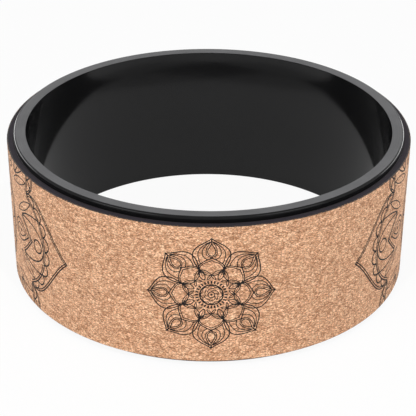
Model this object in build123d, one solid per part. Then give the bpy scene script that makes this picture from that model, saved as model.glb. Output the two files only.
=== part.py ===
from build123d import *
import os

# A yoga wheel lying on one open end: a plastic tube with a padded, cork covered tread.
# Millimetres. The wheel's axis is +Z, the lower end lies at Z = 0, and the side that carries
# the front ornament faces -Y.

# Plastic tube
BORE_DIAMETER = 301.0
CORE_WALL = 9.0
CORE_WIDTH = 127.0
CORE_INNER_ROUND = 0.8
CORE_OUTER_ROUND = 1.5

# Bare tube left standing beyond the wrapped strip at each end
LIP_WIDTH = 5.0

# Layers of the wrapped strip, from the tube outwards
BOND_THICKNESS = 0.2
FOAM_THICKNESS = 4.3
CORK_THICKNESS = 0.8
CORK_EDGE_ROUND = 0.3

# Foam and cork are laminated flat and wrapped once round the tube as one strip, whose two ends
# meet in a butt seam at the back, between two printed ornaments: the width of the joint, and
# its turn from +X towards +Y
SEAM_GAP = 0.4
SEAM_TURN = 60.0

# Lay-up: each radius is the outside of the piece below it
CORE_INNER_RADIUS = BORE_DIAMETER / 2
CORE_OUTER_RADIUS = CORE_INNER_RADIUS + CORE_WALL
FOAM_INNER_RADIUS = CORE_OUTER_RADIUS + BOND_THICKNESS
FOAM_OUTER_RADIUS = FOAM_INNER_RADIUS + FOAM_THICKNESS
CORK_INNER_RADIUS = FOAM_OUTER_RADIUS + BOND_THICKNESS
STRIP_WIDTH = CORE_WIDTH - 2 * LIP_WIDTH

# Share of a wall that a round may take, so that a round never eats a thin wall
ROUND_SHARE = 0.4


def limited_round(radius, wall):
    """A round's radius, held inside the wall that it is cut into."""
    return min(radius, ROUND_SHARE * wall)


def wall_section(inner_radius, wall, low, width):
    """The rectangle that a wall sweeps: radius along X, height along Z."""
    flat = Pos(inner_radius + wall / 2, low + width / 2) * Rectangle(wall, width)
    return Plane.XZ * flat


def lathe(section):
    """A full ring from a section in the XZ plane, begun and closed on the seam's line."""
    ring = revolve(section, axis=Axis.Z, revolution_arc=360)
    return Rot(0, 0, SEAM_TURN) * ring


def core_ring():
    """The tube: small rounds on its two inner rims, larger ones on the two outer rims."""
    section = wall_section(CORE_INNER_RADIUS, CORE_WALL, 0, CORE_WIDTH)
    across = section.vertices().sort_by(Axis.X)
    section = fillet(across[:2], limited_round(CORE_INNER_ROUND, CORE_WALL))
    outer_corners = section.vertices().sort_by(Axis.X)[-2:]
    return lathe(fillet(outer_corners, limited_round(CORE_OUTER_ROUND, CORE_WALL)))


def seam_cut(inner_radius, wall):
    """The slot that parts a layer at the seam, across its whole width."""
    slot = Box(3 * wall, SEAM_GAP, 2 * CORE_WIDTH)
    middle = inner_radius + wall / 2
    return Rot(0, 0, SEAM_TURN) * Pos(middle, 0, CORE_WIDTH / 2) * slot


def layer(inner_radius, wall, edge_round=0):
    """One layer of the strip, wrapped once round the tube between the lips."""
    section = wall_section(inner_radius, wall, LIP_WIDTH, STRIP_WIDTH)
    if edge_round > 0:
        outer_corners = section.vertices().sort_by(Axis.X)[-2:]
        section = fillet(outer_corners, limited_round(edge_round, wall))
    return lathe(section) - seam_cut(inner_radius, wall)


pieces = {
    "core_ring": core_ring(),
    "inner_bond_film": layer(CORE_OUTER_RADIUS, BOND_THICKNESS),
    "foam_pad": layer(FOAM_INNER_RADIUS, FOAM_THICKNESS),
    "outer_bond_film": layer(FOAM_OUTER_RADIUS, BOND_THICKNESS),
    "cork_cover": layer(CORK_INNER_RADIUS, CORK_THICKNESS, CORK_EDGE_ROUND),
}

os.makedirs("parts", exist_ok=True)
for name, piece in pieces.items():
    piece.label = name
    export_step(piece, os.path.join("parts", name + ".step"))
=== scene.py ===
"""Looks of a yoga wheel that lies on one end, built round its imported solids: a gloss black tube
with turned ends, a foam pad, and a printed cork cover, on a pale studio floor. Lengths are metres.
"""

from collections import namedtuple
from math import atan2, ceil, cos, hypot, pi, radians, sin, tau

import bmesh
import bpy
from bpy.props import FloatProperty, FloatVectorProperty, IntProperty, PointerProperty
from bpy.types import Operator, Panel, PropertyGroup
from mathutils import Matrix, Vector, noise


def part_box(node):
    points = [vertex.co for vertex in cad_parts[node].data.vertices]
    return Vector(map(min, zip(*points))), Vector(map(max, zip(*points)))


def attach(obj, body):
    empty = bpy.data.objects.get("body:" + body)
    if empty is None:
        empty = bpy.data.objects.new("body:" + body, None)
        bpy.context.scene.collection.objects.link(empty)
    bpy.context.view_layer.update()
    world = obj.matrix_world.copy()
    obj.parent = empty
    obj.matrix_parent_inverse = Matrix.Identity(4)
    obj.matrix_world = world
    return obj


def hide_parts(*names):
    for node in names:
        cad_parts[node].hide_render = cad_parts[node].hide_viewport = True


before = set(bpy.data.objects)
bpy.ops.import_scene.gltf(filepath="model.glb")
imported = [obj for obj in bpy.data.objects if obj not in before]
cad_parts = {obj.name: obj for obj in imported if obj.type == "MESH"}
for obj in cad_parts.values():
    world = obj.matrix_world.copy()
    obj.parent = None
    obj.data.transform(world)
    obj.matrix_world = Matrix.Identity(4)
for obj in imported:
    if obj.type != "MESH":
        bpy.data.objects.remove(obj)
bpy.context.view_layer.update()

bl_info = {
    "name": "Yoga Wheel",
    "version": (1, 0, 0),
    "blender": (4, 5, 0),
    "location": "3D View > Sidebar > Yoga Wheel",
    "description": "Dresses a yoga wheel: turned tube, foam pad, printed cork cover and stage",
    "category": "Object",
}

MM = 0.001
BODY = "root"
WHITE = (1.0, 1.0, 1.0, 1.0)

# How finely each ring is divided round the axis, and the length of a step along an ornament's lines
TUBE_STEPS = 720
PAD_STEPS = 720
CORK_STEPS = 1600
LOTUS_STEP = 0.9 * MM
MEDALLION_STEP = 1.4 * MM

# A holding point stands at most this far from a round, so that smooth shading stays within the round
HOLD = 0.3 * MM


# Sizes read from the imported solids

def node_radii(node):
    """Least and greatest distance of a node's corners from the wheel's axis."""
    found = [hypot(v.co.x, v.co.y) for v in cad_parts[node].data.vertices]
    return min(found), max(found)


CORE_INNER, CORE_OUTER = node_radii("core_ring")
FOAM_INNER, FOAM_OUTER = node_radii("foam_pad")
CORK_INNER, CORK_OUTER = node_radii("cork_cover")
CORE_LOW, CORE_HIGH = (corner.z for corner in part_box("core_ring"))
STRIP_LOW, STRIP_HIGH = (corner.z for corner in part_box("cork_cover"))


def seam_line():
    """Turn of the strip's butt seam from +X towards +Y, and half of its width, as angles.

    Its two lips are the nearest neighbours on the cork's outer rim, because every facet of the
    rim is wider than the seam."""
    corners = [v.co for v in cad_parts["cork_cover"].data.vertices]
    rim = [corner for corner in corners if hypot(corner.x, corner.y) > CORK_OUTER - 0.1 * MM]
    turns = sorted({round(atan2(corner.y, corner.x), 6) for corner in rim})
    neighbours = zip(turns, turns[1:] + [turns[0] + tau])
    width, before, after = min((after - before, before, after) for before, after in neighbours)
    return (before + after) / 2, width / 2


SEAM_TURN, SEAM_HALF = seam_line()


# Settings that a user would change

def setting(kind, **common):
    """A short call that makes settings of one kind."""
    def made(name, description, default, **more):
        return kind(name=name, description=description, default=default, **(common | more))

    return made


length = setting(FloatProperty, min=0.0, unit="LENGTH", precision=5)
share = setting(FloatProperty, min=0.0, max=1.0, subtype="FACTOR")
angle = setting(FloatProperty, subtype="ANGLE")
lamp_power = setting(FloatProperty, min=0.0, unit="POWER")
colour = setting(FloatVectorProperty, size=3, min=0.0, max=1.0, subtype="COLOR")


class TubeSettings(PropertyGroup):
    """The plastic tube and its two turned ends."""
    wall_colour: colour("Wall colour", "Moulded gloss plastic of the walls", (0.0040, 0.0040, 0.0043))
    wall_roughness: share("Wall roughness", "Gloss of the walls", 0.07)
    end_colour: colour("End colour", "Turned, satin plastic of the two ends", (0.112, 0.112, 0.115))
    end_roughness: share("End roughness", "Satin of the two ends", 0.42)
    end_gloss: share("End gloss", "Specular level of the two ends", 0.10)
    lip_gloss: share("Lip gloss", "Specular level of the bare lips outside", 0.14)
    inner_round: length("Inner round", "Radius of the two inner rims", 0.8 * MM)
    outer_round: length("Outer round", "Radius of the two outer rims", 1.5 * MM)
    collar: length("Collar", "Height over which each end of the bore curves in", 16.0 * MM)
    collar_lean: length("Collar lean", "How far each end of the bore curves in", 0.75 * MM)
    groove: length("Groove", "Spacing of the turning marks", 0.45 * MM, min=0.05 * MM)


class PadSettings(PropertyGroup):
    """The foam pad between tube and cork."""
    foam_colour: colour("Foam colour", "Closed cell foam", (0.022, 0.019, 0.023))
    cell: length("Cell", "Width of a foam cell", 0.35 * MM, min=0.05 * MM)
    edge_round: length("Edge round", "Softness of the cut edges", 0.35 * MM)
    wave: length("Wave", "Width of a wave along the cut edges", 6.0 * MM, min=0.5 * MM)
    wave_height: length("Wave height", "How far the cut edges wave", 0.10 * MM)


class CorkSettings(PropertyGroup):
    """The cork sheet."""
    pale: colour("Pale granules", "Lightest cork", (1.00, 0.645, 0.415))
    middle: colour("Middle granules", "Most of the cork", (0.73, 0.387, 0.214))
    deep: colour("Deep granules", "Darkest common cork", (0.33, 0.145, 0.065))
    fleck: colour("Flecks", "Reddish bark flecks", (0.20, 0.075, 0.032))
    # A dark colour for the sheet's cut edge, between its crumbs
    backing: colour("Cut edge", "Dark backing that shows on the cut edge", (0.030, 0.027, 0.027))
    granule: length("Granule", "Height of a common granule", 1.4 * MM, min=0.2 * MM)
    flatness: share("Flatness", "Height of a granule over its length along the tread", 0.55)
    inner_round: length("Inner round", "Radius of the two inner edges", 0.05 * MM)
    outer_round: length("Outer round", "Radius of the two outer edges", 0.3 * MM)
    crumb: length("Crumb", "Width of a large crumb on the cut edges", 1.6 * MM, min=0.2 * MM)
    small_crumb: length("Small crumb", "Width of a small crumb there", 0.7 * MM, min=0.1 * MM)
    ragged: length("Ragged edge", "How far crumbs stand out of the cut edges", 0.16 * MM)


class PrintSettings(PropertyGroup):
    """The ink ornaments on the cork."""
    ink_colour: colour("Ink", "Printing ink", (0.007, 0.0065, 0.007))
    ink_height: length("Ink height", "How far the ink stands on the cork", 0.03 * MM)
    ink_depth: length("Ink depth", "How far the ink reaches into the cork", 0.12 * MM)
    margin: length("Margin", "Bare cork between the ink and the strip's edges", 0.3 * MM)
    turn: angle("Turn", "Turn of the front ornament from -Y towards +X", radians(0.87))
    rise: length("Rise", "Height of the ornaments above the strip's middle", 1.2 * MM)
    petals: IntProperty(name="Petals", description="Petals of each ornament", default=8, min=4, max=16)
    lotus_radius: length("Lotus radius", "Centre to petal tip, front and back", 48.3 * MM)
    lotus_pen: length("Lotus pen", "Main line of the lotus", 0.87 * MM)
    medallion_turn: angle("Medallion turn", "Middle between the side ornaments", radians(1.15))
    medallion_side: angle("Medallion side", "From that middle to each side ornament", radians(93.86))
    medallion_radius: length("Medallion radius", "Centre to petal tip, both sides", 150.0 * MM)
    medallion_pen: length("Medallion pen", "Main line of the medallion", 1.50 * MM)


class StageSettings(PropertyGroup):
    """Camera, lamps, floor and background."""
    camera_distance: length("Camera distance", "Camera to the point it looks at", 1.11463)
    camera_tilt: angle("Camera tilt", "How far the camera looks down", radians(29.056))
    camera_roll: angle("Camera roll", "Turn about its view line", radians(0.32))
    aim_across: length("Aim across", "Point looked at, along X", -0.00036, min=-1.0)
    aim_height: length("Aim height", "Point looked at, above the floor", 0.04600)
    lens: FloatProperty(
        name="Lens", description="Focal length on a 36 mm sensor", default=113.15, min=1.0, unit="CAMERA"
    )
    front_power: lamp_power("Front lamps", "Pair of large low lamps, front left and right", 21.0)
    back_power: lamp_power("Back lamps", "Pair of large low lamps, back left and right", 25.0)
    top_power: lamp_power("Top lamps", "Pair of small lamps high in front", 14.0)
    ambient: share("Ambient", "Even light from all round", 0.14)
    floor_colour: colour("Floor colour", "Pale floor", (0.80, 0.80, 0.80))
    floor_half: length("Floor half width", "Middle of the floor to its sides", 4.0)
    floor_gap: length("Floor gap", "Floor below the wheel's lower end", 0.2 * MM)
    floor_seen: share("Floor seen white", "Share of white in the floor as seen", 0.92)
    floor_mirrored: share("Floor mirrored white", "Share of white in the mirrored floor", 0.04)
    floor_through: share("Floor white through", "Share of white in the floor seen through glass", 0.85)


# Meshes

def smooth_object(name, mesh, materials, crease=35):
    """A linked object with smooth faces and sharp edges past the crease angle, riding on the wheel."""
    for material in materials:
        mesh.materials.append(material)
    mesh.polygons.foreach_set("use_smooth", [True] * len(mesh.polygons))
    mesh.set_sharp_from_angle(angle=radians(crease))
    piece = bpy.data.objects.new(name, mesh)
    bpy.context.scene.collection.objects.link(piece)
    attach(piece, BODY)
    return piece


def closed_mesh(name, shape):
    """The mesh of a shape that has been built, with all its faces turned outwards."""
    bmesh.ops.recalc_face_normals(shape, faces=shape.faces)
    mesh = bpy.data.meshes.new(name)
    shape.to_mesh(mesh)
    shape.free()
    return mesh


def corner_arc(centre, radius, start, steps, hold):
    """A quarter round of a section, with a holding point on the straight side at each of its ends."""
    points = []
    for index in range(steps + 1):
        turn = radians(start + 90 * index / steps)
        points.append(centre + radius * Vector((cos(turn), sin(turn))))
    before, after = radians(start), radians(start + 90)
    points.insert(0, points[0] - hold * Vector((-sin(before), cos(before))))
    points.append(points[-1] + hold * Vector((-sin(after), cos(after))))
    return points


def wall_outline(inner, outer, low, high, inner_round, outer_round, steps):
    """Section of a wall as (radius, height) points, walked anticlockwise from its low inner corner."""
    hold = min(HOLD, (outer - inner - inner_round - outer_round) / 3)
    corners = (
        (inner + inner_round, low + inner_round, inner_round, 180),
        (outer - outer_round, low + outer_round, outer_round, 270),
        (outer - outer_round, high - outer_round, outer_round, 0),
        (inner + inner_round, high - inner_round, inner_round, 90),
    )
    points = []
    for across, up, radius, start in corners:
        points += corner_arc(Vector((across, up)), radius, start, steps, hold)
    return points


def ring_mesh(name, outline, steps, finish_of, parted=False, roughen=None):
    """Sweeps a closed outline round the axis, whole or parted at the seam. finish_of gives a material
    index for each stretch of the outline, and roughen moves a point."""
    if parted:
        first, sweep = SEAM_TURN + SEAM_HALF, tau - 2 * SEAM_HALF
        turns = [first + sweep * index / steps for index in range(steps + 1)]
    else:
        turns = [tau * index / steps for index in range(steps)]
    shape = bmesh.new()
    rows = []
    for turn in turns:
        row = []
        for point in outline:
            across, up = roughen(point, turn) if roughen else point
            row.append(shape.verts.new((across * cos(turn), across * sin(turn), up)))
        rows.append(row)
    pairs = list(zip(rows, rows[1:]))
    if not parted:
        pairs.append((rows[-1], rows[0]))
    sides = len(outline)
    finishes = [finish_of(outline[i], outline[(i + 1) % sides]) for i in range(sides)]
    for row, following in pairs:
        for i in range(sides):
            j = (i + 1) % sides
            face = shape.faces.new((row[i], following[i], following[j], row[j]))
            face.material_index = finishes[i]
    if parted:
        for row in (rows[0], rows[-1]):
            shape.faces.new(row).material_index = finishes[0]
    return closed_mesh(name, shape)


# Material trees

class Nodes:
    """The empty node tree of a material or a world, with short calls that add nodes and link them."""

    def __init__(self, owner):
        owner.use_nodes = True
        self.tree = owner.node_tree
        self.tree.nodes.clear()

    def add(self, kind, sockets=None, **settings):
        """A node of that kind. sockets maps inputs to values, or to outputs to link."""
        node = self.tree.nodes.new(kind)
        for key, value in settings.items():
            setattr(node, key, value)
        for key, value in (sockets or {}).items():
            if isinstance(value, bpy.types.NodeSocket):
                self.tree.links.new(value, node.inputs[key])
            else:
                node.inputs[key].default_value = value
        return node

    def math(self, operation, first, second):
        return self.add("ShaderNodeMath", {0: first, 1: second}, operation=operation).outputs[0]

    def weighted(self, *parts):
        """The sum of (input, weight) pairs."""
        products = [self.math("MULTIPLY", part, weight) for part, weight in parts]
        total = products[0]
        for product in products[1:]:
            total = self.math("ADD", total, product)
        return total

    def vector(self, operation, first, second=(0, 0, 0), output="Vector"):
        node = self.add("ShaderNodeVectorMath", {0: first, 1: second}, operation=operation)
        return node.outputs[output]

    def spread(self, factor, least, most, low=0.0, high=1.0):
        """A factor between low and high, spread out from least to most."""
        return self.add("ShaderNodeMapRange", {0: factor, 1: low, 2: high, 3: least, 4: most}).outputs[0]


class Finish(Nodes):
    """One procedural material."""

    def __init__(self, name):
        self.material = bpy.data.materials.new(name)
        super().__init__(self.material)

    def ramp(self, factor, *stops):
        """A colour or grey that follows a factor through (place, value) stops."""
        node = self.add("ShaderNodeValToRGB", {0: factor})
        band = node.color_ramp.elements
        while len(band) < len(stops):
            band.new(0.5)
        for element, (place, value) in zip(band, stops):
            element.position = place
            element.color = (*value, 1.0) if hasattr(value, "__len__") else (value, value, value, 1.0)
        return node.outputs[0]

    def mix(self, factor, first, second, blend="MIX"):
        """Two colours mixed by a factor."""
        sockets = {0: factor}
        for index, value in ((6, first), (7, second)):
            sockets[index] = value if isinstance(value, bpy.types.NodeSocket) else (*value, 1.0)
        return self.add("ShaderNodeMix", sockets, data_type="RGBA", blend_type=blend).outputs[2]

    def noise(self, vector, scale, detail, **settings):
        sockets = {"Vector": vector, "Scale": scale, "Detail": detail}
        return self.add("ShaderNodeTexNoise", sockets, **settings)

    def cells(self, vector, scale, feature="F1", **settings):
        """Cells with a crumb in each: their distances, and a random colour for each one."""
        sockets = {"Vector": vector, "Scale": scale}
        return self.add("ShaderNodeTexVoronoi", sockets, feature=feature, **settings)

    def parts(self, colour):
        """The red, green and blue of a colour."""
        return self.add("ShaderNodeSeparateColor", {0: colour}).outputs

    def bump(self, height, distance, strength=1.0, normal=None):
        sockets = {"Height": height, "Distance": distance, "Strength": strength}
        if normal is not None:
            sockets["Normal"] = normal
        return self.add("ShaderNodeBump", sockets).outputs[0]

    def surface(self, **sockets):
        """The Principled surface, its inputs named with underscores for spaces."""
        named = {key.replace("_", " "): value for key, value in sockets.items()}
        for key in ("Base Color", "Specular Tint"):
            if key in named and not isinstance(named[key], bpy.types.NodeSocket):
                named[key] = (*named[key], 1.0)
        shader = self.add("ShaderNodeBsdfPrincipled", named)
        self.add("ShaderNodeOutputMaterial", {0: shader.outputs[0]})
        return self.material

    def place(self):
        """Object coordinates."""
        return self.add("ShaderNodeTexCoord").outputs["Object"]

    def unrolled(self, radius):
        """Coordinates on the unrolled sheet in millimetres: along the tread from the seam, and up."""
        from_seam = {"Vector": self.place(), "Rotation": (0, 0, pi - SEAM_TURN)}
        start = self.add("ShaderNodeMapping", from_seam).outputs[0]
        parts = self.add("ShaderNodeSeparateXYZ", {0: start}).outputs
        turn = self.math("ARCTAN2", parts[1], parts[0])
        along = self.math("MULTIPLY", turn, radius / MM)
        up = self.math("MULTIPLY", parts[2], 1 / MM)
        return self.add("ShaderNodeCombineXYZ", {0: along, 1: up}).outputs[0]


def shades(colour, *factors):
    """A colour at several brightnesses."""
    return [[factor * part for part in colour] for factor in factors]


def wall_finish(tube):
    """Moulded black gloss plastic, with a faint orange peel and a few rubbed patches."""
    finish = Finish("moulded_gloss_black")
    place = finish.place()
    peel = finish.noise(place, 260.0, 2.0).outputs[0]
    rub = finish.noise(place, 21.0, 5.0).outputs[0]
    plain, rubbed = shades(tube.wall_colour, 1.0, 1.25)
    return finish.surface(
        Base_Color=finish.ramp(rub, (0.3, plain), (0.8, rubbed)),
        Roughness=finish.spread(rub, tube.wall_roughness, tube.wall_roughness + 0.05, 0.35, 0.75),
        Normal=finish.bump(peel, 0.02 * MM, 0.25),
    )


def lip_finish(tube):
    """The bare lips outside, rubbed by handling: black, with a softer gloss than the bore."""
    finish = Finish("rubbed_lip_black")
    scuff = finish.noise(finish.place(), 90.0, 4.0).outputs[0]
    plain, scuffed = shades(tube.wall_colour, 1.0, 1.5)
    return finish.surface(
        Base_Color=finish.ramp(scuff, (0.3, plain), (0.8, scuffed)),
        Roughness=finish.spread(scuff, tube.wall_roughness, tube.wall_roughness + 0.12, 0.3, 0.7),
        Specular_IOR_Level=tube.lip_gloss,
        Normal=finish.bump(scuff, 0.02 * MM, 0.25),
    )


def turned_finish(tube):
    """The satin grey of an end that was faced on a lathe: fine rings about the wheel's axis."""
    finish = Finish("turned_satin_grey")
    place = finish.place()
    flat = finish.vector("MULTIPLY", place, (1, 1, 0))
    radius = finish.vector("LENGTH", flat, output="Value")
    sockets = {"W": radius, "Scale": 1 / tube.groove, "Detail": 3.0}
    rings = finish.add("ShaderNodeTexNoise", sockets, noise_dimensions="1D").outputs[0]
    patches = finish.noise(place, 45.0, 3.0).outputs[0]
    blend = finish.weighted((rings, 0.65), (patches, 0.35))
    deep, middle, pale = shades(tube.end_colour, 0.72, 1.0, 1.30)
    return finish.surface(
        Base_Color=finish.ramp(blend, (0.32, deep), (0.5, middle), (0.68, pale)),
        Roughness=finish.spread(rings, tube.end_roughness - 0.08, tube.end_roughness + 0.12),
        Specular_IOR_Level=tube.end_gloss,
        Normal=finish.bump(rings, 0.05 * MM, 0.5),
    )


def foam_finish(pad):
    """Charcoal closed cell foam, matte, its cut cells showing as fine hollows, each darker towards its
    middle as painted shade, over a random mottle.
    """
    finish = Finish("charcoal_foam")
    place = finish.place()
    cells = finish.cells(place, 1 / pad.cell)
    mottle = finish.noise(place, 420.0, 4.0).outputs[0]
    # Each cell's hollow is also darker in colour towards its middle: painted shade in the hollow
    shaded_pits = finish.ramp(cells.outputs["Distance"], (0.05, 0.0), (0.45, 1.0))
    blend = finish.weighted((shaded_pits, 0.5), (mottle, 0.5))
    deep, pale = shades(pad.foam_colour, 0.35, 1.5)
    return finish.surface(
        Base_Color=finish.ramp(blend, (0.25, deep), (0.75, pale)),
        Roughness=0.88,
        Specular_IOR_Level=0.20,
        Normal=finish.bump(shaded_pits, 0.12 * MM, 0.6),
    )


def adhesive_finish():
    """Dark transfer adhesive that shows as a hairline between the layers."""
    finish = Finish("dark_adhesive")
    blotch = finish.noise(finish.place(), 400.0, 3.0).outputs[0]
    return finish.surface(
        Base_Color=finish.ramp(blotch, (0.3, (0.010, 0.009, 0.009)), (0.7, (0.030, 0.026, 0.022))),
        Roughness=0.35,
        Normal=finish.bump(blotch, 0.03 * MM, 0.4),
    )


def crumbs(finish, ground, density, channel, share_from, share_to, core, rim):
    """A mask of round crumbs: some cells are picked by one channel of their colour, and each crumb
    fades out between its core and its rim."""
    cells = finish.cells(ground, density, voronoi_dimensions="2D").outputs
    picked = finish.ramp(finish.parts(cells["Color"])[channel], (share_from, 0.0), (share_to, 1.0))
    spot = finish.ramp(cells["Distance"], (core, 1.0), (rim, 0.0))
    return finish.math("MULTIPLY", finish.math("MULTIPLY", picked, spot), 0.75)


def cork_finish(cork):
    """Agglomerated cork: packed granules of many tans, reddish bark flecks, pale specks, and pitted
    pores that are darkened with painted shade.
    """
    finish = Finish("pressed_cork")
    flat_noise = {"noise_dimensions": "2D"}
    flat_cells = {"voronoi_dimensions": "2D"}
    sheet = finish.unrolled(CORK_OUTER)
    sockets = {"Vector": sheet, "Scale": (cork.flatness, 1.0, 1.0)}
    stretched = finish.add("ShaderNodeMapping", sockets).outputs[0]

    # Granules lie askew: their ground is shifted about by a slow noise
    drift = finish.noise(stretched, 0.9, 2.0, **flat_noise).outputs["Color"]
    shift = finish.vector("SUBTRACT", drift, (0.5, 0.5, 0.5))
    strayed = finish.add("ShaderNodeVectorMath", {0: shift, "Scale": 1.5}, operation="SCALE").outputs[0]
    ground = finish.vector("ADD", stretched, strayed)

    # Tans of the large granules, of the small ones between them, and of the grain within them
    density = MM / cork.granule
    large = finish.parts(finish.cells(ground, density, **flat_cells).outputs["Color"])
    small = finish.parts(finish.cells(ground, 2.3 * density, **flat_cells).outputs["Color"])
    grain = finish.noise(ground, 1.5, 2.0, **flat_noise).outputs[0]
    tone = finish.weighted((large[0], 0.26), (small[0], 0.30), (grain, 0.44))
    shade = finish.ramp(tone, (0.27, cork.deep), (0.50, cork.middle), (0.73, cork.pale))
    gaps = finish.cells(ground, density, "DISTANCE_TO_EDGE", **flat_cells).outputs["Distance"]
    shade = finish.mix(1.0, shade, finish.ramp(gaps, (0.0, 0.50), (0.26, 1.0)), "MULTIPLY")

    flecks = crumbs(finish, ground, 1.05 * density, 1, 0.86, 0.89, 0.18, 0.42)
    shade = finish.mix(flecks, shade, cork.fleck)
    specks = crumbs(finish, ground, 1.25 * density, 2, 0.87, 0.91, 0.20, 0.45)
    shade = finish.mix(specks, shade, [min(1.0, 1.12 * part) for part in cork.pale])

    # Slow clouds over the whole sheet, and pores: hollows in the relief, darkened with painted shade
    cloud = finish.noise(sheet, 0.035, 3.0, **flat_noise).outputs[0]
    shade = finish.mix(1.0, shade, finish.ramp(cloud, (0.3, 0.97), (0.7, 1.03)), "MULTIPLY")
    shaded_pits = finish.noise(ground, 1.1, 2.0, **flat_noise).outputs[0]
    solid = finish.ramp(shaded_pits, (0.30, 0.0), (0.38, 1.0))
    # Painted shade: the pores are darker in colour as well as lower in the relief
    shade = finish.mix(1.0, shade, finish.ramp(solid, (0.0, 0.60), (1.0, 1.0)), "MULTIPLY")
    relief = finish.weighted((gaps, 1.2), (small[2], 0.35), (solid, 0.5))
    return finish.surface(
        Base_Color=shade,
        Roughness=finish.ramp(grain, (0.3, 0.62), (0.7, 0.82)),
        Specular_IOR_Level=0.4,
        Normal=finish.bump(relief, 0.10 * MM, 0.55),
    )


def cork_edge_finish(cork):
    """The sheet's cut edge: dark, with a few crumbs of cork at half brightness."""
    finish = Finish("cut_cork_edge")
    crumb = finish.cells(finish.place(), 1400.0).outputs
    torn, = shades(cork.middle, 0.5)
    return finish.surface(
        Base_Color=finish.ramp(finish.parts(crumb["Color"])[0], (0.80, cork.backing), (0.97, torn)),
        Roughness=0.85,
        Normal=finish.bump(crumb["Distance"], 0.15 * MM, 0.6),
    )


def ink_finish(settings):
    """Screen printed ink, matte, thinned in places where it sank into the cork."""
    finish = Finish("printing_ink")
    sunk = finish.noise(finish.place(), 900.0, 3.0).outputs[0]
    full, thin = shades(settings.ink_colour, 1.0, 1.6)
    bare = (0.060, 0.038, 0.026)
    return finish.surface(
        Base_Color=finish.ramp(sunk, (0.35, full), (0.62, thin), (0.84, bare)),
        Roughness=0.60,
        Specular_IOR_Level=0.12,
        Normal=finish.bump(sunk, 0.04 * MM, 0.5),
    )


# Drawing on the unrolled sheet. A stroke is a list of (along, up) points and a width at each. An
# ornament is drawn round (0, 0) in units of its radius: w is the width of its main line, and step
# the length of a step along its lines.

Stroke = namedtuple("Stroke", "points widths")


def polar(radius, turn):
    """The point that far from an ornament's centre, turned clockwise from straight up, in degrees."""
    return Vector((radius * sin(radians(turn)), radius * cos(radians(turn))))


def bend(start, lean, reach, end, step):
    """Points of a cubic curve, about one step apart."""
    a, b, c, d = (Vector(point) for point in (start, lean, reach, end))
    count = max(4, ceil(((b - a).length + (c - b).length + (d - c).length) / step))
    points = []
    for index in range(count + 1):
        t = index / count
        s = 1 - t
        points.append(s ** 3 * a + 3 * s ** 2 * t * b + 3 * s * t * t * c + t ** 3 * d)
    return points


def pen(points, width, start=1.0, end=1.0):
    """A pen line whose width swells, by the given factors, towards its start and its end."""
    last = len(points) - 1
    widths = []
    for index in range(last + 1):
        t = index / last
        swell = 1 + (start - 1) * max(0.0, 1 - 4 * t) ** 2 + (end - 1) * max(0.0, 4 * t - 3) ** 2
        widths.append(width * swell)
    return Stroke(points, widths)


def beside(points, distance):
    """The same line, moved sideways to its left."""
    moved = []
    for index, point in enumerate(points):
        line = (points[min(index + 1, len(points) - 1)] - points[max(index - 1, 0)]).normalized()
        moved.append(point + distance * Vector((-line.y, line.x)))
    return moved


def circle(radius, width, step, centre=(0, 0)):
    """A round line whose two ends meet."""
    count = max(14, ceil(tau * radius / step))
    points = [Vector(centre) + polar(radius, 360 * index / count) for index in range(count + 1)]
    return Stroke(points, [width] * (count + 1))


def dot(centre, radius):
    """A filled spot, as one short and wide stroke that is almost closed at both ends."""
    points, widths = [], []
    count = 9
    for index in range(count):
        turn = pi * (index + 0.25) / (count - 0.5)
        points.append(Vector(centre) + Vector((0.0, -radius * cos(turn))))
        widths.append(2 * radius * sin(turn))
    return Stroke(points, widths)


def mirrored(strokes):
    """The strokes and their mirror image across the upright axis."""
    flipped = [Stroke([Vector((-p.x, p.y)) for p in s.points], s.widths) for s in strokes]
    return strokes + flipped


def turned(strokes, turn):
    """The strokes turned clockwise about the ornament's centre, by degrees."""
    turner = Matrix.Rotation(radians(-turn), 2)
    return [Stroke([turner @ point for point in s.points], s.widths) for s in strokes]


def ring_of(strokes, count, phase=0.0):
    """Copies of the strokes at even turns about the centre."""
    return [s for index in range(count) for s in turned(strokes, phase + 360 * index / count)]


def leaf(start, end, belly, width, step, rib=0.0):
    """A pointed leaf between two points, with an optional middle rib along part of its length."""
    start, end = Vector(start), Vector(end)
    line = end - start
    side = Vector((-line.y, line.x)).normalized() * belly * 4 / 3
    strokes = []
    for way in (-1, 1):
        lean, reach = start + 0.3 * line + way * side, start + 0.7 * line + way * side
        strokes.append(pen(bend(start, lean, reach, end, step), width, 1.3, 1.3))
    if rib:
        strokes.append(pen([start, start + 0.5 * rib * line, start + rib * line], 0.8 * width, 1.3, 0.4))
    return strokes


def half_drop(corners, width, step, start=1.0):
    """Half of a drop, from its tip through its widest place to its foot: two curves, whose seven
    corners are given in that order."""
    upper, lower = bend(*corners[:4], step), bend(*corners[3:], step)
    return [pen(upper, width, start), pen(lower, width)]


def scallops(line, count, height, width, step):
    """Small arches that stand in a row along the left of a line of points."""
    strokes = []
    marks = [line[round(index * (len(line) - 1) / count)] for index in range(count + 1)]
    for first, second in zip(marks, marks[1:]):
        across = second - first
        out = Vector((-across.y, across.x)).normalized() * height * 4 / 3
        strokes.append(pen(bend(first, first + out, second + out, second, step), width, 1.2, 1.2))
    return strokes


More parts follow.
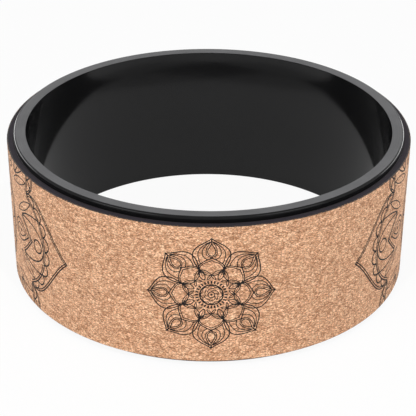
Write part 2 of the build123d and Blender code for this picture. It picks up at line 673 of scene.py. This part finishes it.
def lotus_petal(petals, w, step):
    """Half of one upright petal of the lotus: ogee outline, arch, bud and the veins between."""
    half_turn = 180 / petals
    node = polar(0.479, half_turn)
    tip = Vector((0, 1))
    belly = Vector((0.286, 0.690))
    apex = Vector((0, 0.660))
    outline = bend(node, (0.240, 0.53), (0.288, 0.60), belly, step)
    flank = bend(belly, (0.300, 0.870), (0.035, 0.920), tip, step)
    arch_foot = node + Vector((0.014, 0.022))
    arch = bend(apex, (0.020, 0.628), (0.215, 0.570), arch_foot, step)
    lower_arch = bend((0, 0.615), (0.020, 0.583), (0.185, 0.570), node, step)
    strokes = [
        pen(outline, w, 1.8, 1.0),
        pen(flank, w, 1.0, 0.5),
        pen(arch, 0.9 * w, 1.6, 1.5),
        pen(lower_arch, 0.75 * w, 1.2, 1.5),
        pen([polar(place, 0) for place in (0.915, 0.940, 0.965, 1.010)], 1.3 * w, 0.3, 0.1),
    ]
    bud = ((0, 0.915), (0.004, 0.865), (0.064, 0.820), (0.060, 0.752))
    bud_base = ((0.056, 0.705), (0.022, 0.688), (0, 0.688))
    strokes += half_drop(bud + bud_base, 0.85 * w, step)
    veins = ((0.084, 0.748, 0.0), (0.143, 0.738, 0.34), (0.208, 0.718, 0.68))
    for wide, high, place in veins:
        middle = Vector((wide, high))
        foot = arch[round(place * (len(arch) - 1))]
        start = (0.12 * wide, 0.935)
        rise = bend(start, (0.45 * wide, 0.895), (wide, high + 0.10), middle, step)
        inward = foot + Vector((0.42 * (middle.x - foot.x), 0.020))
        fall = bend(middle, (wide, high - 0.065), inward, foot, step)
        strokes.append(pen(rise, 0.78 * w, 0.6, 1.0))
        strokes.append(pen(fall, 0.78 * w, 1.0, 1.5))
    return strokes


def lotus(petals, w, step):
    """The small ornament: a lotus with pointed petals round a beaded rosette."""
    half_turn = 180 / petals
    node = polar(0.479, half_turn)
    strokes = ring_of(mirrored(lotus_petal(petals, w, step)), petals)
    strokes += ring_of([dot((0, 0.652), 0.014), dot((0, 0.350), 0.010)], petals)
    strokes += ring_of([dot((0, 0.474), 0.017)], petals, half_turn)
    side = leaf(node, (0, 0.350), 0.030, 0.8 * w, step, 0.8)
    inner = leaf((0, 0.350), polar(0.278, 0.62 * half_turn), 0.016, 0.7 * w, step)
    strokes += ring_of(mirrored(side + inner), petals)
    between = leaf((0, 0.479), (0, 0.282), 0.042, 0.8 * w, step, 0.75)
    strokes += ring_of(between, petals, half_turn)
    seed = pen([polar(place, 0) for place in (0.200, 0.215, 0.232, 0.248)], 1.35 * w, 0.8, 1.5)
    strokes += ring_of([seed], 3 * petals + petals // 2)
    strokes += [circle(0.178, 1.25 * w, step)]
    corners = ((0.135, -1.0), (0.180, -0.6), (0.180, 0.6), (0.135, 1.0))
    lobe = bend(*(polar(place, turn * half_turn) for place, turn in corners), step)
    strokes += ring_of([pen(lobe, 0.7 * w)], petals)
    corners = ((0.055, 0), (0.10, 10), (0.125, 40), (0.118, 80))
    swirl = bend(*(polar(place, turn) for place, turn in corners), step)
    strokes += ring_of([pen(swirl, 0.7 * w, 0.8, 1.3)], 6)
    strokes += [circle(0.052, 0.8 * w, step), dot((0, 0), 0.018)]
    return strokes


def medallion_petal(petals, w, step):
    """Half of one upright petal of the medallion: broad ogee outline, arch, nested drops and vein."""
    half_turn = 180 / petals
    node = polar(0.712, half_turn)
    shoulder = Vector((0.190, 0.838))
    outline = bend(node, (0.300, 0.735), (0.262, 0.780), shoulder, step)
    flank = bend(shoulder, (0.118, 0.896), (0.050, 0.935), (0, 1), step)
    strokes = []
    for line in (outline, flank):
        strokes += [pen(line, 0.72 * w), pen(beside(line, 0.0115), 0.62 * w)]
    base = Vector((0.112, 0.570))
    shoulder_foot = (0.160, 0.774)
    outer_arch = bend(base, (0.150, 0.620), (0.162, 0.700), shoulder_foot, step)
    arch = bend(base, (0.128, 0.660), (0.105, 0.800), (0, 0.803), step)
    drop = bend((0, 0.690), (0.020, 0.665), (0.070, 0.630), base, step)
    strokes += [pen(outer_arch, 0.8 * w, 1.4, 1.2), pen(arch, 0.8 * w, 1.4, 1.0)]
    strokes += [pen(drop, 0.8 * w, 1.2, 1.3), pen(beside(drop, -0.0125), 0.6 * w)]
    seed = ((0, 0.643), (0.012, 0.615), (0.060, 0.580), (0.062, 0.520))
    seed_base = ((0.062, 0.480), (0.025, 0.462), (0, 0.460))
    strokes += half_drop(seed + seed_base, 0.8 * w, step, 1.4)
    kernel = ((0, 0.606), (0.008, 0.580), (0.038, 0.560), (0.036, 0.525))
    kernel_base = ((0.034, 0.495), (0.016, 0.482), (0, 0.480))
    strokes += half_drop(kernel + kernel_base, 0.7 * w, step, 1.4)
    strokes += leaf((0.125, 0.520), (0.225, 0.690), 0.022, 0.6 * w, step, 0.7)
    return strokes


def medallion(petals, w, step):
    """The large ornament: a broad petalled medallion with scalloped borders round a full rosette."""
    half_turn = 180 / petals
    foot = (0.262, 0.655)
    dome = bend((-foot[0], foot[1]), (-0.170, 0.872), (0.170, 0.872), foot, step / 2)
    petal = [pen(dome[::2], 0.8 * w), pen(beside(dome[::2], -0.0125), 0.6 * w)]
    petal += scallops(dome, 8, 0.040, 0.85 * w, step)
    petal += [circle(0.038, 0.9 * w, step, (0, 0.747))]
    petal += [dot((0, 0.540), 0.010), dot((0, 0.508), 0.008)]
    petal += mirrored(medallion_petal(petals, w, step))
    strokes = ring_of(petal, petals)
    strokes += ring_of([dot((0, 0.708), 0.007)], petals, half_turn)
    border = 3 * petals
    rim = [polar(0.405, 360 * index / (4 * border)) for index in range(-2, 3)]
    strokes += ring_of(scallops(rim, 1, 0.026, 0.8 * w, step), border)
    strokes += [circle(0.405, 0.9 * w, step), circle(0.388, 0.6 * w, step)]
    strokes += ring_of(leaf((0, 0.222), (0, 0.383), 0.033, 0.8 * w, step, 0.7), 2 * petals)
    strokes += ring_of([dot((0, 0.365), 0.006)], 2 * petals, half_turn / 2)
    strokes += [circle(0.217, 0.9 * w, step), circle(0.202, 0.6 * w, step)]
    strokes += ring_of([circle(0.014, 0.6 * w, step, (0, 0.181))], border)
    strokes += [circle(0.160, 0.8 * w, step)]
    strokes += ring_of(leaf((0, 0.050), (0, 0.156), 0.026, 0.7 * w, step, 0.6), petals)
    strokes += [circle(0.047, 0.8 * w, step), dot((0, 0), 0.018)]
    return strokes


def ribbon(shape, stroke, centre, low, high):
    """A closed flat band of ink along one stroke, laid on the tread at an ornament's centre."""
    points, widths = stroke.points, stroke.widths
    rows = []
    for index, (point, width) in enumerate(zip(points, widths)):
        before, after = points[max(0, index - 1)], points[min(len(points) - 1, index + 1)]
        line = (after - before).normalized()
        side = Vector((-line.y, line.x)) * width / 2
        left, right = point + side, point - side
        row = []
        for place, radius in ((left, high), (right, high), (right, low), (left, low)):
            turn = (centre.x + place.x) / CORK_OUTER
            row.append(shape.verts.new((radius * sin(turn), -radius * cos(turn), centre.y + place.y)))
        rows.append(row)
    for row, following in zip(rows, rows[1:]):
        for i in range(4):
            j = (i + 1) % 4
            shape.faces.new((row[i], row[j], following[j], following[i]))
    shape.faces.new(rows[0])
    shape.faces.new(rows[-1][::-1])


def clipped(strokes, least, most):
    """The strokes cut into the runs that lie between two heights, with one spare point each end."""
    kept = []
    for stroke in strokes:
        inside = [least <= point.y <= most for point in stroke.points]
        run = []
        for index in range(len(inside)):
            if any(inside[max(0, index - 1):index + 2]):
                run.append(index)
            elif run:
                kept.append(run_of(stroke, run))
                run = []
        if run:
            kept.append(run_of(stroke, run))
    return [stroke for stroke in kept if len(stroke.points) > 1]


def run_of(stroke, run):
    return Stroke([stroke.points[i] for i in run], [stroke.widths[i] for i in run])


def sized(stroke, radius):
    """A stroke of an ornament, brought to that radius."""
    return Stroke([radius * point for point in stroke.points], [radius * w for w in stroke.widths])


def ink_object(name, ornament, radius, width, step, turns, settings):
    """One piece of ink, trimmed just inside the strip's two edges. The ornament has that radius, main
    line and step, and stands at every given turn from -Y towards +X."""
    drawn = ornament(settings.petals, width / radius, step / radius)
    strokes = [sized(stroke, radius) for stroke in drawn]
    shape = bmesh.new()
    low, high = CORK_OUTER - settings.ink_depth, CORK_OUTER + settings.ink_height
    bottom, top = STRIP_LOW + settings.margin, STRIP_HIGH - settings.margin
    middle = (STRIP_LOW + STRIP_HIGH) / 2 + settings.rise
    centres = [Vector((turn * CORK_OUTER, middle)) for turn in turns]
    for centre in centres:
        for stroke in clipped(strokes, bottom - centre.y, top - centre.y):
            ribbon(shape, stroke, centre, low, high)
    for height, way in ((bottom, -1), (top, 1)):
        everything = shape.verts[:] + shape.edges[:] + shape.faces[:]
        bmesh.ops.bisect_plane(
            shape, geom=everything, plane_co=(0, 0, height), plane_no=(0, 0, way), clear_outer=True
        )
        open_edges = [edge for edge in shape.edges if edge.is_boundary]
        bmesh.ops.holes_fill(shape, edges=open_edges, sides=0)
    return smooth_object(name, closed_mesh(name, shape), [ink_finish(settings)])


# Operators

WALL, END, LIP = range(3)


def collared(outline, tube):
    """The tube's section with both ends of the bore curving in over the collar's height."""
    def leant(across, from_end):
        return across - tube.collar_lean * max(0.0, 1 - from_end / tube.collar) ** 2

    leaned = []
    for point in outline:
        from_end = min(point.y - CORE_LOW, CORE_HIGH - point.y)
        inside = point.x < CORE_INNER + 2 * tube.inner_round
        leaned.append(Vector((leant(point.x, from_end) if inside else point.x, point.y)))
    steps = 8
    curve = [tube.collar * index / steps for index in range(1, steps + 1)]
    # One more point, just past the curve, holds the straight wall
    curve.append(1.03 * tube.collar)
    upper = [Vector((leant(CORE_INNER, from_end), CORE_HIGH - from_end)) for from_end in curve]
    lower = [Vector((point.x, CORE_LOW + CORE_HIGH - point.y)) for point in reversed(upper)]
    return leaned + upper + lower


class WHEEL_OT_tube(Operator):
    """Makes the plastic tube with gloss walls and turned ends"""
    bl_idname = "yoga_wheel.tube"
    bl_label = "Tube"

    def execute(self, context):
        tube = context.scene.yoga_wheel_tube
        rounds = tube.inner_round, tube.outer_round
        outline = collared(wall_outline(CORE_INNER, CORE_OUTER, CORE_LOW, CORE_HIGH, *rounds, 8), tube)
        # An end begins at the bore, and a lip a hair before the outer round
        end_from = CORE_INNER - tube.collar_lean
        lip_from = CORE_OUTER - 1.02 * tube.outer_round
        steep = 2.5

        def finish_of(first, second):
            across = (first.x + second.x) / 2
            if across >= lip_from:
                return LIP
            upright = abs(second.y - first.y) > steep * abs(second.x - first.x)
            return END if across > end_from and not upright else WALL

        mesh = ring_mesh("turned_tube", outline, TUBE_STEPS, finish_of)
        finishes = [wall_finish(tube), turned_finish(tube), lip_finish(tube)]
        piece = smooth_object("turned_tube", mesh, finishes, 12)
        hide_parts("core_ring")
        return {"FINISHED"}


def way_in(height):
    """The upward or downward sign that leads from a height to the strip's middle."""
    return 1 if height < (STRIP_LOW + STRIP_HIGH) / 2 else -1


def depth_in(height):
    """How far a height lies inside the strip's nearer edge."""
    return min(height - STRIP_LOW, STRIP_HIGH - height)


class WHEEL_OT_pad(Operator):
    """Makes the foam pad and gives the two adhesive films their finish"""
    bl_idname = "yoga_wheel.pad"
    bl_label = "Foam Pad"

    def execute(self, context):
        pad = context.scene.yoga_wheel_pad
        rounds = pad.edge_round, pad.edge_round
        outline = wall_outline(FOAM_INNER, FOAM_OUTER, STRIP_LOW, STRIP_HIGH, *rounds, 4)
        middle = (FOAM_INNER + FOAM_OUTER) / 2
        reach = MM

        def waved(point, turn):
            if depth_in(point.y) >= reach:
                return point
            spot = Vector((middle * cos(turn), middle * sin(turn), 3 * point.x)) / pad.wave
            return Vector((point.x, point.y + way_in(point.y) * pad.wave_height * noise.noise(spot)))

        finishes = [foam_finish(pad)]
        mesh = ring_mesh("wrapped_foam", outline, PAD_STEPS, lambda *ends: 0, parted=True, roughen=waved)
        piece = smooth_object("wrapped_foam", mesh, finishes, 60)
        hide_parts("foam_pad")
        adhesive = adhesive_finish()
        for node in ("inner_bond_film", "outer_bond_film"):
            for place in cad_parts[node].material_slots:
                place.material = adhesive
        return {"FINISHED"}


class WHEEL_OT_cork(Operator):
    """Makes the cork cover with its crumbly cut edges"""
    bl_idname = "yoga_wheel.cork"
    bl_label = "Cork Cover"

    def execute(self, context):
        cork = context.scene.yoga_wheel_cork
        rounds = cork.inner_round, cork.outer_round
        outline = wall_outline(CORK_INNER, CORK_OUTER, STRIP_LOW, STRIP_HIGH, *rounds, 4)
        reach = 0.5 * MM
        upright = 0.05

        def crumbled(point, turn):
            if depth_in(point.y) > reach:
                return point
            spot = Vector((CORK_OUTER * cos(turn), CORK_OUTER * sin(turn), point.y))
            crumb = noise.noise(spot / cork.crumb) + 0.5 * noise.noise(spot / cork.small_crumb)
            return Vector((point.x, point.y + way_in(point.y) * cork.ragged * abs(crumb)))

        def finish_of(first, second):
            standing = abs(second.x - first.x) < upright * abs(second.y - first.y)
            return 0 if standing and first.x > (CORK_INNER + CORK_OUTER) / 2 else 1

        finishes = [cork_finish(cork), cork_edge_finish(cork)]
        mesh = ring_mesh("printed_cork", outline, CORK_STEPS, finish_of, parted=True, roughen=crumbled)
        piece = smooth_object("printed_cork", mesh, finishes, 60)
        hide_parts("cork_cover")
        return {"FINISHED"}


class WHEEL_OT_lotus(Operator):
    """Prints the small lotus at the front and at the back"""
    bl_idname = "yoga_wheel.lotus"
    bl_label = "Lotus Print"

    def execute(self, context):
        settings = context.scene.yoga_wheel_print
        size = settings.lotus_radius, settings.lotus_pen, LOTUS_STEP
        turns = settings.turn, settings.turn + pi
        ink_object("lotus_print", lotus, *size, turns, settings)
        return {"FINISHED"}


class WHEEL_OT_medallion(Operator):
    """Prints the large medallion on both sides, cut off by the strip's edges"""
    bl_idname = "yoga_wheel.medallion"
    bl_label = "Medallion Print"

    def execute(self, context):
        settings = context.scene.yoga_wheel_print
        size = settings.medallion_radius, settings.medallion_pen, MEDALLION_STEP
        middle, side = settings.medallion_turn, settings.medallion_side
        ink_object("medallion_print", medallion, *size, (middle + side, middle - side), settings)
        return {"FINISHED"}


# A lamp's turn from -Y towards +X and its rise above the floor, in degrees, its distance from the
# wheel, its width and height, the setting that holds its power and its share of it, and whether a
# gloss mirrors it. The two small ones stand in for one high lamp that a gloss would show as a spot.

Lamp = namedtuple("Lamp", "turn rise reach width height power share mirrored")

LAMPS = {
    "front_left_lamp": Lamp(-46, 22, 2.4, 1.5, 1.0, "front_power", 1.11, True),
    "front_right_lamp": Lamp(46, 22, 2.4, 1.5, 1.0, "front_power", 0.87, True),
    "back_left_lamp": Lamp(-130, 10, 2.4, 2.0, 0.5, "back_power", 1.0, True),
    "back_right_lamp": Lamp(130, 10, 2.4, 2.0, 0.5, "back_power", 1.0, True),
    "top_left_lamp": Lamp(-22, 57.9, 2.2, 0.06, 0.06, "top_power", 1.0, False),
    "top_right_lamp": Lamp(22, 57.9, 2.2, 0.06, 0.06, "top_power", 1.0, False),
}


def softbox(name, lamp, power):
    """A flat lamp that looks at the wheel's middle."""
    light = bpy.data.lights.new(name, "AREA")
    light.shape = "RECTANGLE"
    light.size, light.size_y = lamp.width, lamp.height
    light.energy = power
    aim = Vector((0.0, 0.0, (CORE_LOW + CORE_HIGH) / 2))
    turn, rise = radians(lamp.turn), radians(lamp.rise)
    away = Vector((sin(turn) * cos(rise), -cos(turn) * cos(rise), sin(rise)))
    holder = bpy.data.objects.new(name, light)
    holder.visible_glossy = lamp.mirrored
    holder.location = aim + lamp.reach * away
    holder.rotation_euler = (-away).to_track_quat("-Z", "Y").to_euler()
    bpy.context.scene.collection.objects.link(holder)


def studio_air(stage):
    """White where the camera, a gloss or a clear piece sees it, and an even light on the wheel."""
    world = bpy.data.worlds.new("studio_air")
    air = Nodes(world)
    lit = air.add("ShaderNodeBackground", {"Color": WHITE, "Strength": stage.ambient})
    seen = air.add("ShaderNodeBackground", {"Color": WHITE, "Strength": 1.0})
    ray = air.add("ShaderNodeLightPath").outputs
    through = air.math("MAXIMUM", ray["Is Glossy Ray"], ray["Is Transmission Ray"])
    shown = air.math("MAXIMUM", ray["Is Camera Ray"], through)
    mixed = air.add("ShaderNodeMixShader", {0: shown, 1: lit.outputs[0], 2: seen.outputs[0]})
    air.add("ShaderNodeOutputWorld", {0: mixed.outputs[0]})
    return world


def floor_finish(stage):
    """A pale matte floor that shows as white, its shadow kept, where the camera or a gloss sees it."""
    finish = Finish("pale_floor")
    shader = finish.add("ShaderNodeBsdfDiffuse", {0: (*stage.floor_colour, 1.0)})
    white = finish.add("ShaderNodeEmission", {0: WHITE, 1: 1.0})
    ray = finish.add("ShaderNodeLightPath").outputs
    white_share = finish.weighted(
        (ray["Is Camera Ray"], stage.floor_seen),
        (ray["Is Glossy Ray"], stage.floor_mirrored),
        (ray["Is Transmission Ray"], stage.floor_through),
    )
    sockets = {0: white_share, 1: shader.outputs[0], 2: white.outputs[0]}
    mixed = finish.add("ShaderNodeMixShader", sockets)
    finish.add("ShaderNodeOutputMaterial", {0: mixed.outputs[0]})
    return finish.material


def studio_floor(stage):
    """A square of floor just below the wheel."""
    half = stage.floor_half
    corners = [(-half, -half, 0), (half, -half, 0), (half, half, 0), (-half, half, 0)]
    mesh = bpy.data.meshes.new("studio_floor")
    mesh.from_pydata(corners, [], [(0, 1, 2, 3)])
    mesh.materials.append(floor_finish(stage))
    floor = bpy.data.objects.new("studio_floor", mesh)
    floor.location.z = CORE_LOW - stage.floor_gap
    bpy.context.scene.collection.objects.link(floor)


def view_camera(stage):
    """The camera at the photograph's angle, in front of the wheel and looking down on it."""
    camera = bpy.data.objects.new("view_camera", bpy.data.cameras.new("view_camera"))
    camera.data.lens = stage.lens
    back = Vector((0.0, -cos(stage.camera_tilt), sin(stage.camera_tilt)))
    aim = Vector((stage.aim_across, 0.0, stage.aim_height))
    camera.location = aim + stage.camera_distance * back
    level = (-back).to_track_quat("-Z", "Y").to_matrix()
    camera.rotation_euler = (level @ Matrix.Rotation(stage.camera_roll, 3, "Z")).to_euler()
    bpy.context.scene.collection.objects.link(camera)
    return camera


class WHEEL_OT_stage(Operator):
    """Makes the camera, the lamps, the floor and the background"""
    bl_idname = "yoga_wheel.stage"
    bl_label = "Stage"

    def execute(self, context):
        stage = context.scene.yoga_wheel_stage
        scene = context.scene
        scene.view_settings.view_transform = "Standard"
        studio_floor(stage)
        scene.world = studio_air(stage)
        for name, lamp in LAMPS.items():
            softbox(name, lamp, lamp.share * getattr(stage, lamp.power))
        scene.camera = view_camera(stage)
        return {"FINISHED"}


class WHEEL_PT_panel(Panel):
    """Lists the wheel's pieces, their settings and the calls that make them"""
    bl_label = "Yoga Wheel"
    bl_space_type = "VIEW_3D"
    bl_region_type = "UI"
    bl_category = "Yoga Wheel"

    def draw(self, context):
        for name, _, operators in SECTIONS:
            box = self.layout.box()
            for operator in operators:
                box.operator(operator.bl_idname)
            settings = getattr(context.scene, name)
            for key in settings.__annotations__:
                box.prop(settings, key)


# The settings of each section of the panel, and the operators that read them
SECTIONS = (
    ("yoga_wheel_tube", TubeSettings, (WHEEL_OT_tube,)),
    ("yoga_wheel_pad", PadSettings, (WHEEL_OT_pad,)),
    ("yoga_wheel_cork", CorkSettings, (WHEEL_OT_cork,)),
    ("yoga_wheel_print", PrintSettings, (WHEEL_OT_lotus, WHEEL_OT_medallion)),
    ("yoga_wheel_stage", StageSettings, (WHEEL_OT_stage,)),
)
CLASSES = [part for _, group, operators in SECTIONS for part in (group, *operators)]
CLASSES.append(WHEEL_PT_panel)


def register():
    for part in CLASSES:
        bpy.utils.register_class(part)
    for name, group, _ in SECTIONS:
        setattr(bpy.types.Scene, name, PointerProperty(type=group))


def unregister():
    for name, _, _ in SECTIONS:
        delattr(bpy.types.Scene, name)
    for part in reversed(CLASSES):
        bpy.utils.unregister_class(part)


def main():
    register()
    bpy.ops.yoga_wheel.tube()
    bpy.ops.yoga_wheel.pad()
    bpy.ops.yoga_wheel.cork()
    bpy.ops.yoga_wheel.lotus()
    bpy.ops.yoga_wheel.medallion()
    bpy.ops.yoga_wheel.stage()


if __name__ == "__main__":
    main()
